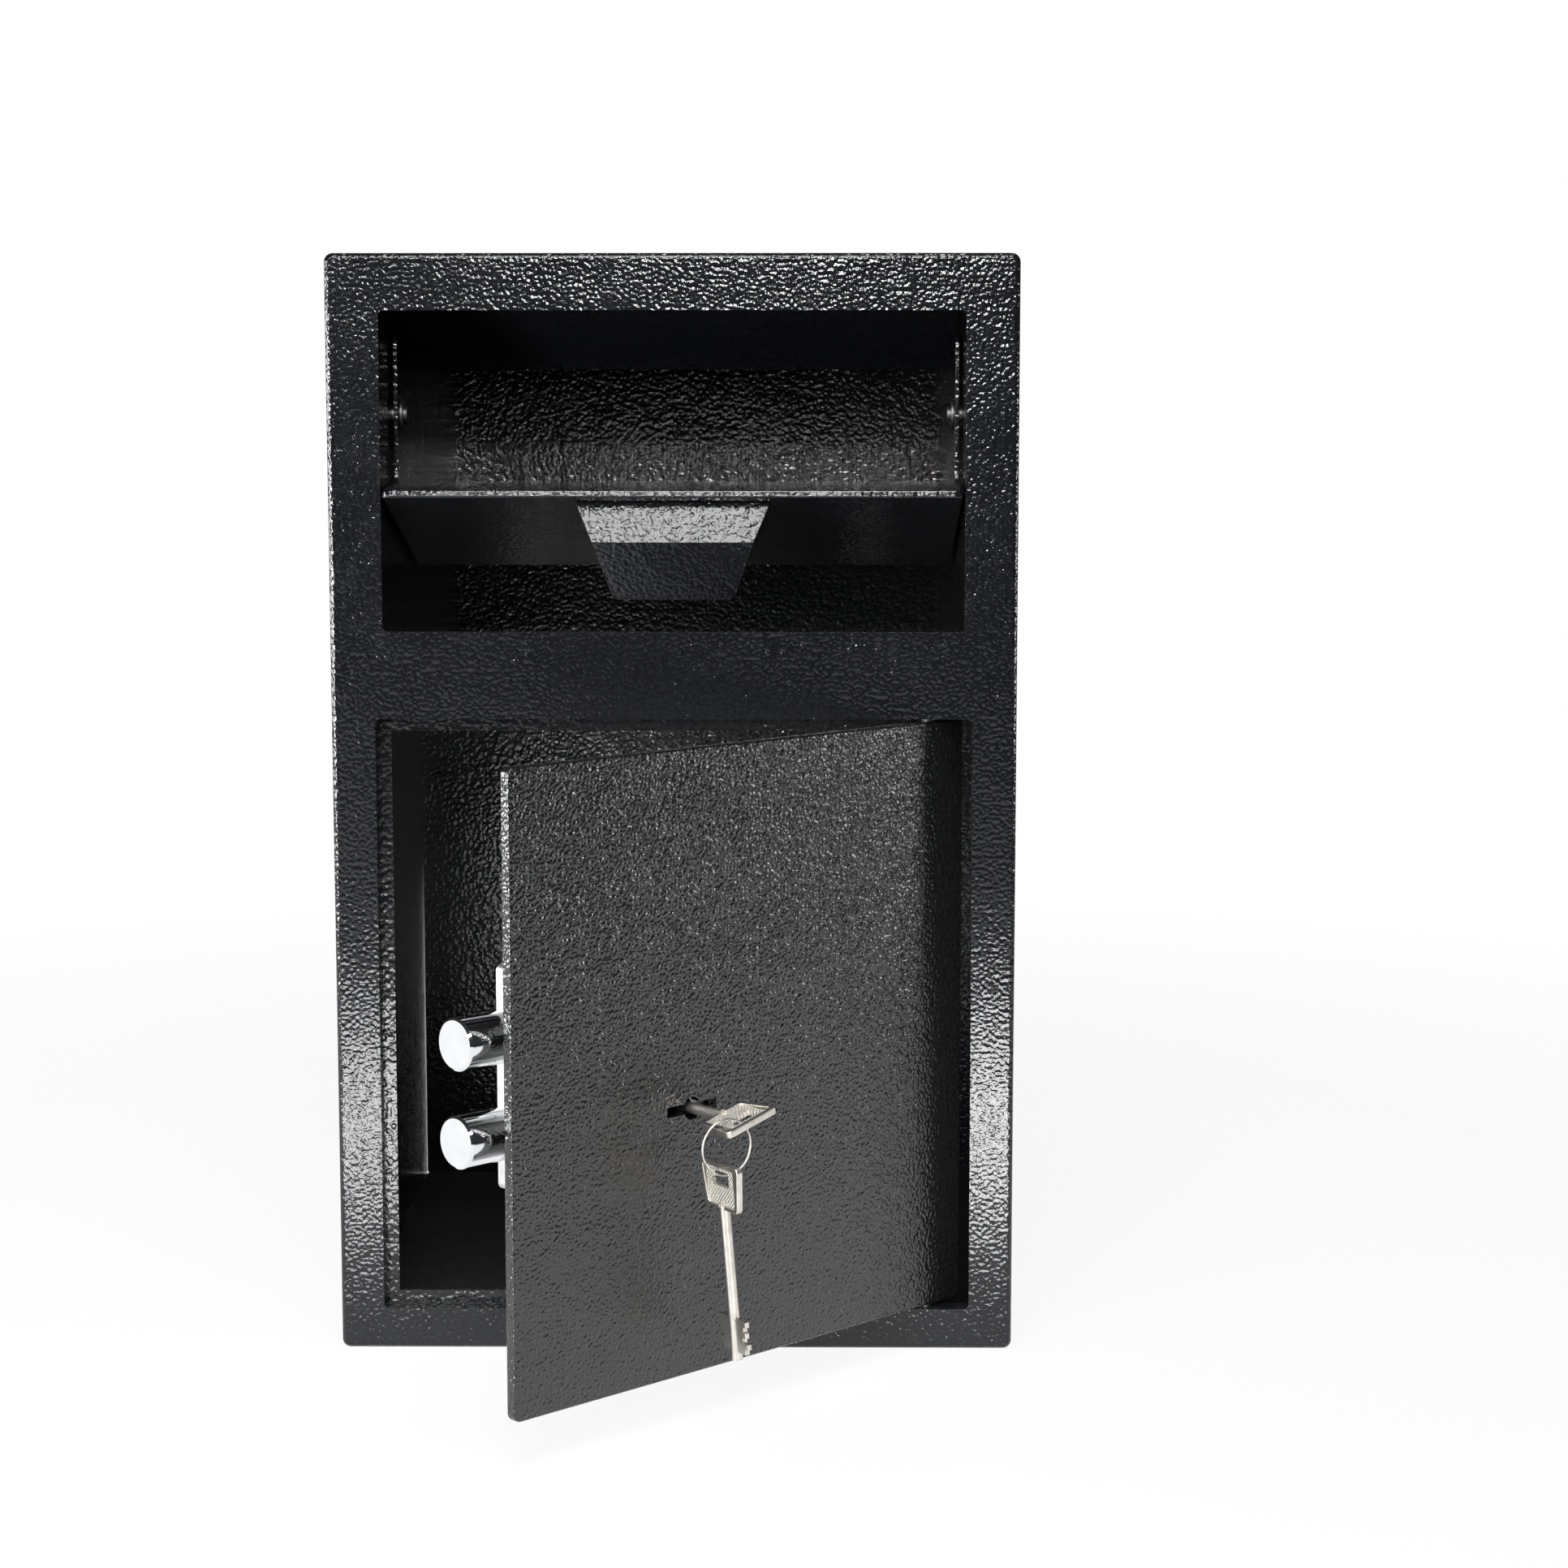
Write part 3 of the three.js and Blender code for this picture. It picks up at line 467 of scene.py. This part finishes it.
# %% [markdown]
# ## Chromed bolts
#
# The two bolts are turned from bar: a flat polished end, a chamfered rim and a straight
# barrel. A profile spun round the bolt's axis gives a rounder barrel than the solid's facets
# would, and that matters here, because a mirror finish shows every facet.

# %% A body spun from a profile


def piece_from(work, name):
    """A smooth piece in the scene from a finished bmesh."""
    bmesh.ops.recalc_face_normals(work, faces=work.faces)
    mesh = bpy.data.meshes.new(name)
    work.to_mesh(mesh)
    work.free()
    mesh.shade_smooth()
    return stand_in_scene(name, mesh)


def spun(name, profile, origin, axis, turns):
    """A closed body: the profile's (distance along, radius) points spun round an axis.

    A point of radius 0 gives one corner, and any other point a ring of them."""
    across = axis.cross(UP).normalized()
    over = axis.cross(across)
    angles = [math.tau * i / turns for i in range(turns)]
    work = bmesh.new()
    rings = []
    for along, radius in profile:
        middle = origin + axis * along
        outward = [across * math.cos(a) + over * math.sin(a) for a in (angles if radius else [0])]
        rings.append([work.verts.new(middle + way * radius) for way in outward])
    for low, high in zip(rings, rings[1:]):
        for i in range(turns):
            corners = [low[i % len(low)], low[(i + 1) % len(low)]]
            corners += [high[(i + 1) % len(high)], high[i % len(high)]]
            work.faces.new(dict.fromkeys(corners))
    return piece_from(work, name)


# %% The two bolts
BOLT_RADIUS = 12.5 * MM
BOLT_CHAMFER = 1.1 * MM
BOLT_TURNS = 96


def bolt_piece(name):
    low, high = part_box(name)
    middle = (Vector(low) + Vector(high)) / 2
    reach = [corner.co.dot(along_door) for corner in nodes[name].data.vertices]
    long = max(reach) - min(reach)
    profile = [
        (0, 0), (0, BOLT_RADIUS - BOLT_CHAMFER), (BOLT_CHAMFER, BOLT_RADIUS),
        (long, BOLT_RADIUS), (long, 0),
    ]
    bolt = spun(name + "_turned", profile, middle - along_door * long / 2, along_door, BOLT_TURNS)
    bolt.data.set_sharp_from_angle(angle=SHARP)
    dress(bolt, name, chrome)
    print(name, "is", round(long / MM, 1), "mm long and has", len(bolt.data.polygons), "faces")


for name in ("bolt_upper", "bolt_lower"):
    bolt_piece(name)

# %% [markdown]
# ## Keys
#
# Both keys are die-cast: a flat bow with a slot for the ring and a raised rim round a hatched
# field, a small notch where the stem begins, a round stem, and two wings of bits near its end.
# The frame's solid has the shape, so it is copied, and the field and the notch are cut into
# the copy. The lock's key stands along the door's own axes, turned by the angle at which the
# photograph shows it. The second key hangs square to the ring and leans a little.

# %% Where the two keys stand
KEY_TURN = math.radians(14.2)
SPARE_LEAN = math.radians(5.5)
SPARE_HANGS_AT = 21 * MM


def stand(origin, across, stem):
    """Own axes of a key: X across the bow, Y down the stem, and its place."""
    axes = Matrix((across, stem, across.cross(stem))).transposed().to_4x4()
    return Matrix.Translation(origin) @ axes


ring_axis = joint_axis("ring_swing")
ring_side = ring_axis.cross(UP)
ring_on_spare = joint_place("spare_swing")
key_across = along_door * math.cos(KEY_TURN) + UP * math.sin(KEY_TURN)
spare_stem = ring_side * math.sin(SPARE_LEAN) - UP * math.cos(SPARE_LEAN)
KEY_STANDS = {
    "lock_key": stand(key_place, key_across, -joint_axis("key_turn")),
    "spare_key": stand(ring_on_spare + spare_stem * SPARE_HANGS_AT, ring_axis, spare_stem),
}
for name, matrix in KEY_STANDS.items():
    print(name, "stands at", [round(v, 4) for v in matrix.translation])

# %% Nickel with a hatched field on the bow
BOW_FAR = 23 * MM
BOW_FAR_HALF = 16.5 * MM
BOW_NECK_HALF = 13.5 * MM
BOW_THICKNESS = 3.4 * MM
RIM = 2 * MM
HATCH_PITCH = 2.1 * MM
HATCH_SOFT = 0.4 * MM
HATCH_DEPTH = 0.2 * MM
HATCH_ROUGHNESS = 0.12
KEY_ROUGHNESS = 0.26
KEY_CLOUD = 5 * MM
KEY_CLOUD_ROUGHNESS = 0.12
KEY_GRAIN = 0.4 * MM
KEY_GRAIN_DETAIL = 3
KEY_GRAIN_HEIGHT = 0.3
KEY_BRIGHT, KEY_WORN = (0.84, 0.81, 0.75), (0.66, 0.62, 0.56)


def hatched_nickel(name, matrix):
    """The keys' plating, with crossed lines inside the rim of the bow, in the key's own axes."""
    finish = Finish(name, Metallic=1.0)
    place = finish.place()
    origin = matrix.translation
    across, stem = (matrix.col[i].to_3d() for i in range(2))
    x = finish.along(place, across) - across.dot(origin)
    y = finish.along(place, stem) - stem.dot(origin)
    in_width = finish.between(
        finish.size_of(x), BOW_NECK_HALF - RIM, BOW_NECK_HALF - RIM - HATCH_SOFT
    )
    past_neck = finish.between(y, -RIM, -RIM - HATCH_SOFT)
    before_end = finish.between(y, RIM - BOW_FAR, RIM - BOW_FAR + HATCH_SOFT)
    field = in_width * past_neck * before_end
    turn = math.tau / HATCH_PITCH
    hatch = finish.wave((x + y) * turn) + finish.wave((x - y) * turn)
    cloud = finish.noise(place, KEY_CLOUD, CLOUD_DETAIL)
    grain = finish.noise(place, KEY_GRAIN, KEY_GRAIN_DETAIL, GRAIN_SHARPNESS)
    worn = finish.between(cloud, CLOUD_FROM, CLOUD_TO)
    return finish.set(
        Base_Color=finish.blend(worn, KEY_BRIGHT, KEY_WORN),
        Roughness=KEY_ROUGHNESS + cloud * KEY_CLOUD_ROUGHNESS + field * HATCH_ROUGHNESS,
        Normal=finish.bump(hatch * field + grain * KEY_GRAIN_HEIGHT, HATCH_DEPTH),
    )


# %% A prism in a key's own axes, and how it is cut out
CORNER_STEPS = 5


def rounded(corners, radius):
    """An outline with a round of the given radius at each corner of a convex shape."""
    points = []
    count = len(corners)
    for i, corner in enumerate(corners):
        here = Vector(corner)
        before = (Vector(corners[i - 1]) - here).normalized()
        after = (Vector(corners[(i + 1) % count]) - here).normalized()
        half = before.angle(after) / 2
        middle = here + (before + after).normalized() * radius / math.sin(half)
        start = (here + before * radius / math.tan(half)) - middle
        end = (here + after * radius / math.tan(half)) - middle
        for step in range(CORNER_STEPS + 1):
            way = start.slerp(end, step / CORNER_STEPS, start)
            points.append(tuple(middle + way.normalized() * radius))
    return points


def prism(outline, low, high, matrix):
    work = bmesh.new()
    ends = [[work.verts.new(matrix @ Vector((x, y, z))) for x, y in outline] for z in (low, high)]
    work.faces.new(reversed(ends[0]))
    work.faces.new(ends[1])
    count = len(outline)
    for i in range(count):
        j = (i + 1) % count
        work.faces.new((ends[0][i], ends[0][j], ends[1][j], ends[1][i]))
    return piece_from(work, "cutter")


def carve(piece, cutter):
    """Cuts one made piece out of another and throws the cutter away."""
    cutting = piece.modifiers.new("carve", "BOOLEAN")
    cutting.operation = "DIFFERENCE"
    cutting.solver = "EXACT"
    cutting.object = cutter
    keep_modifiers(piece)
    bpy.data.objects.remove(cutter)


# %% The two keys
FIELD_DEPTH = 0.45 * MM
NOTCH_RADIUS = 1.6 * MM
NOTCH_FROM_NECK = 1.8 * NOTCH_RADIUS
NOTCH_DEPTH = 0.8 * BOW_THICKNESS / 2
NOTCH_SIDES = 16
KEY_EDGE = 0.22 * MM


def key_piece(name, matrix):
    piece = finished(name, hatched_nickel(name + "_nickel", matrix), 0)
    corners = [
        (-BOW_NECK_HALF + RIM, -RIM), (BOW_NECK_HALF - RIM, -RIM),
        (BOW_FAR_HALF - RIM, -BOW_FAR + RIM), (-BOW_FAR_HALF + RIM, -BOW_FAR + RIM),
    ]
    field = rounded(corners, RIM)
    notch = [
        (NOTCH_RADIUS * math.cos(a), -NOTCH_FROM_NECK + NOTCH_RADIUS * math.sin(a))
        for a in [math.tau * i / NOTCH_SIDES for i in range(NOTCH_SIDES)]
    ]
    half = BOW_THICKNESS / 2
    for side in (1, -1):
        for outline, depth in ((field, FIELD_DEPTH), (notch, NOTCH_DEPTH)):
            low, high = sorted((side * (half - depth), side * (half + RIM)))
            carve(piece, prism(outline, low, high, matrix))
    round_edges(piece, KEY_EDGE)
    print(name, "has", len(piece.data.polygons), "faces")


for name, matrix in KEY_STANDS.items():
    key_piece(name, matrix)

# %% [markdown]
# ## Split ring
#
# The ring is a flat spring: two turns of wire lying on each other, whose ends taper away. A
# plain torus would show one wire. So the ring is drawn as one helix with a small pitch, and its
# two coils and their thin ends can be told apart.

# %% Split ring
RING_RADIUS = 13.5 * MM
RING_WIRE = 0.44 * MM
RING_PITCH = 0.9 * MM
RING_COILS = 2
RING_STEPS = 150
RING_SIDES = 12
RING_START = math.radians(200)
RING_END_WIDTH = 0.35
RING_TAPERS = 40
SPARE_ASIDE = math.radians(20)
SPARE_REACH = 9.4 * MM


def split_ring():
    centre = ring_on_spare + SPARE_REACH * (
        ring_side * math.sin(SPARE_ASIDE) + UP * math.cos(SPARE_ASIDE)
    )
    sides = [math.tau * i / RING_SIDES for i in range(RING_SIDES)]
    work = bmesh.new()
    rounds = []
    for step in range(RING_STEPS + 1):
        share = step / RING_STEPS
        angle = RING_START + share * math.tau * RING_COILS
        outward = ring_side * math.cos(angle) + UP * math.sin(angle)
        middle = centre + outward * RING_RADIUS + ring_axis * RING_PITCH * (share - 0.5)
        width = min(1, min(share, 1 - share) * RING_TAPERS + RING_END_WIDTH)
        rounds.append([
            work.verts.new(
                middle + (outward * math.cos(a) * width + ring_axis * math.sin(a)) * RING_WIRE
            )
            for a in sides
        ])
    for low, high in zip(rounds, rounds[1:]):
        for i in range(RING_SIDES):
            j = (i + 1) % RING_SIDES
            work.faces.new((low[i], low[j], high[j], high[i]))
    work.faces.new(rounds[0])
    work.faces.new(rounds[-1])
    return piece_from(work, "key_ring_coiled")


ring = split_ring()
dress(ring, "key_ring", nickel)
print(ring.name, "has", len(ring.data.polygons), "faces")

# %% [markdown]
# ## White floor
#
# The safe stands on white paper that runs on into a white background. A real sheet needs much
# light to come out white, and that light would also fall on the safe. So for the camera the
# paper glows by itself. Close to the safe a tenth of what the camera sees stays the lit paper,
# and that tenth holds the shadow. The paint mirrors the paper: that is why the lower part of
# the door looks grey. For reflections the paper glows too, but only as far as a real sheet
# reaches, and beyond it they see a dark floor.

# %% White floor
FLOOR_REACH = 30
FLOOR_ROUGHNESS = 0.25
FLOOR_SHINE = 0.3
SAFE_MIDDLE = (0, 0, 0)
SHADOW_REACH = 0.6
SHADOW_END = 1.3
GLOW_AT_SAFE = 0.9
PAPER_MIDDLE = (-0.3, -0.4, 0)
PAPER_REACH = 1.0
PAPER_END = 1.9
GLOW_MIRRORED = 0.95
DARK_FLOOR, PALE_FLOOR = (0.05, 0.05, 0.05), (0.8, 0.8, 0.8)


def white_floor():
    finish = Finish(
        "floor", Metallic=0.0, Roughness=FLOOR_ROUGHNESS, Specular_IOR_Level=FLOOR_SHINE
    )
    place = finish.place()
    paper = 1 - finish.between(finish.from_point(place, PAPER_MIDDLE), PAPER_REACH, PAPER_END)
    away = finish.between(finish.from_point(place, SAFE_MIDDLE), SHADOW_REACH, SHADOW_END)
    camera_ray = finish.node("ShaderNodeLightPath", {}, {}, "Is Camera Ray")
    glossy_ray = finish.node("ShaderNodeLightPath", {}, {}, "Is Glossy Ray")
    glow_seen = camera_ray * (GLOW_AT_SAFE + away * (1 - GLOW_AT_SAFE))
    glow_mirrored = glossy_ray * paper * GLOW_MIRRORED
    material = finish.set(Base_Color=finish.blend(paper + camera_ray, DARK_FLOOR, PALE_FLOOR))
    glow = finish.node("ShaderNodeEmission", {}, {"Color": (1, 1, 1, 1), "Strength": 1})
    matt = Wire(finish, finish.shader.outputs["BSDF"])
    shares = {0: glow_seen + glow_mirrored, 1: matt, 2: glow}
    mixed = finish.node("ShaderNodeMixShader", {}, shares)
    finish.feed(finish.tree.nodes["Material Output"].inputs["Surface"], mixed)
    return material


mesh = bpy.data.meshes.new("floor")
corners = [(x * FLOOR_REACH, y * FLOOR_REACH, 0) for x, y in ((-1, -1), (1, -1), (1, 1), (-1, 1))]
mesh.from_pydata(corners, [], [(0, 1, 2, 3)])
mesh.materials.append(white_floor())
floor = stand_in_scene("floor", mesh)

# %% [markdown]
# ## Background
#
# The camera sees plain white behind the safe. Everything else sees a dim grey room, because
# black paint under an evenly white sky would turn grey all over.

# %% World
ROOM_COLOUR = (0.5, 0.51, 0.53)
ROOM_STRENGTH = 0.06
WHITE = (1, 1, 1)

world = bpy.data.worlds.new("studio")
bpy.context.scene.world = world
world.use_nodes = True
tree = world.node_tree
tree.nodes.clear()


def backdrop(colour, strength):
    node = tree.nodes.new("ShaderNodeBackground")
    node.inputs["Color"].default_value = opaque(colour)
    node.inputs["Strength"].default_value = strength
    return node


path = tree.nodes.new("ShaderNodeLightPath")
room = backdrop(ROOM_COLOUR, ROOM_STRENGTH)
white = backdrop(WHITE, 1)
mix = tree.nodes.new("ShaderNodeMixShader")
output = tree.nodes.new("ShaderNodeOutputWorld")
for source, target in [
    (path.outputs["Is Camera Ray"], mix.inputs[0]),
    (room.outputs[0], mix.inputs[1]),
    (white.outputs[0], mix.inputs[2]),
    (mix.outputs[0], output.inputs[0]),
]:
    tree.links.new(source, target)
print("world of", len(tree.nodes), "nodes, room strength", ROOM_STRENGTH)

# %% [markdown]
# ## Lamps
#
# Black glossy paint shows its form only through what it mirrors. The pebbles slope by a few
# degrees, so a lamp shows on a face only from near the direction that this face mirrors. The
# lamps were placed by that rule. Two in front make the top rail sparkle, one in front of the
# handle and above it brightens the handle's shelf, one on the right puts points of light on the
# door, and two weak ones low in front make the glow on the lower stiles. The two on the left
# are for the bolts, the cover and the keys, and a wide one above fills in the rest.

# %% Soft lamps
MIDDLE = (0, 0, 0.3)
EVERY_WAY = 180
NARROW = 60


def soft_box(name, place, target, width, height, power, spread=EVERY_WAY):
    data = bpy.data.lights.new(name, "AREA")
    data.shape = "RECTANGLE"
    data.size = width
    data.size_y = height
    data.energy = power
    data.spread = math.radians(spread)
    lamp = stand_in_scene(name, data)
    lamp.location = place
    towards = Vector(target) - Vector(place)
    lamp.rotation_euler = towards.to_track_quat("-Z", "Y").to_euler()
    lamp.visible_camera = False
    print(name, round(towards.length, 2), "m away,", power, "W")


soft_box("lamp_front", (0.06, -2.05, 0.95), MIDDLE, 0.35, 0.15, 12)
soft_box("lamp_front_left", (-0.55, -2.0, 1.1), MIDDLE, 0.2, 0.2, 6)
soft_box("lamp_handle", (-0.05, -1.35, 1.4), (0, -0.18, 0.43), 0.6, 0.5, 12)
soft_box("lamp_above", (0.1, -0.9, 2.3), MIDDLE, 0.9, 0.9, 34)
soft_box("lamp_right", (1.6, -0.08, 0.3), (0.1, -0.2, 0.25), 0.2, 0.2, 1.8)
soft_box("lamp_low_right", (0.18, -0.5, 0.045), (0.16, -0.18, 0.12), 0.14, 0.1, 0.1, NARROW)
soft_box("lamp_low_left", (-0.2, -0.5, 0.045), (-0.16, -0.18, 0.12), 0.14, 0.1, 0.08, NARROW)
soft_box("lamp_left", (-1.6, -0.2, 0.5), (-0.1, -0.3, 0.2), 0.6, 0.8, 18)
soft_box("lamp_keys", (-0.95, -1.4, 0.32), (0.03, -0.33, 0.12), 0.3, 0.5, 18)

# %% [markdown]
# ## Colours
#
# Colours are shown as they are, without a film look.

# %% Plain colours
bpy.context.scene.view_settings.view_transform = "Standard"
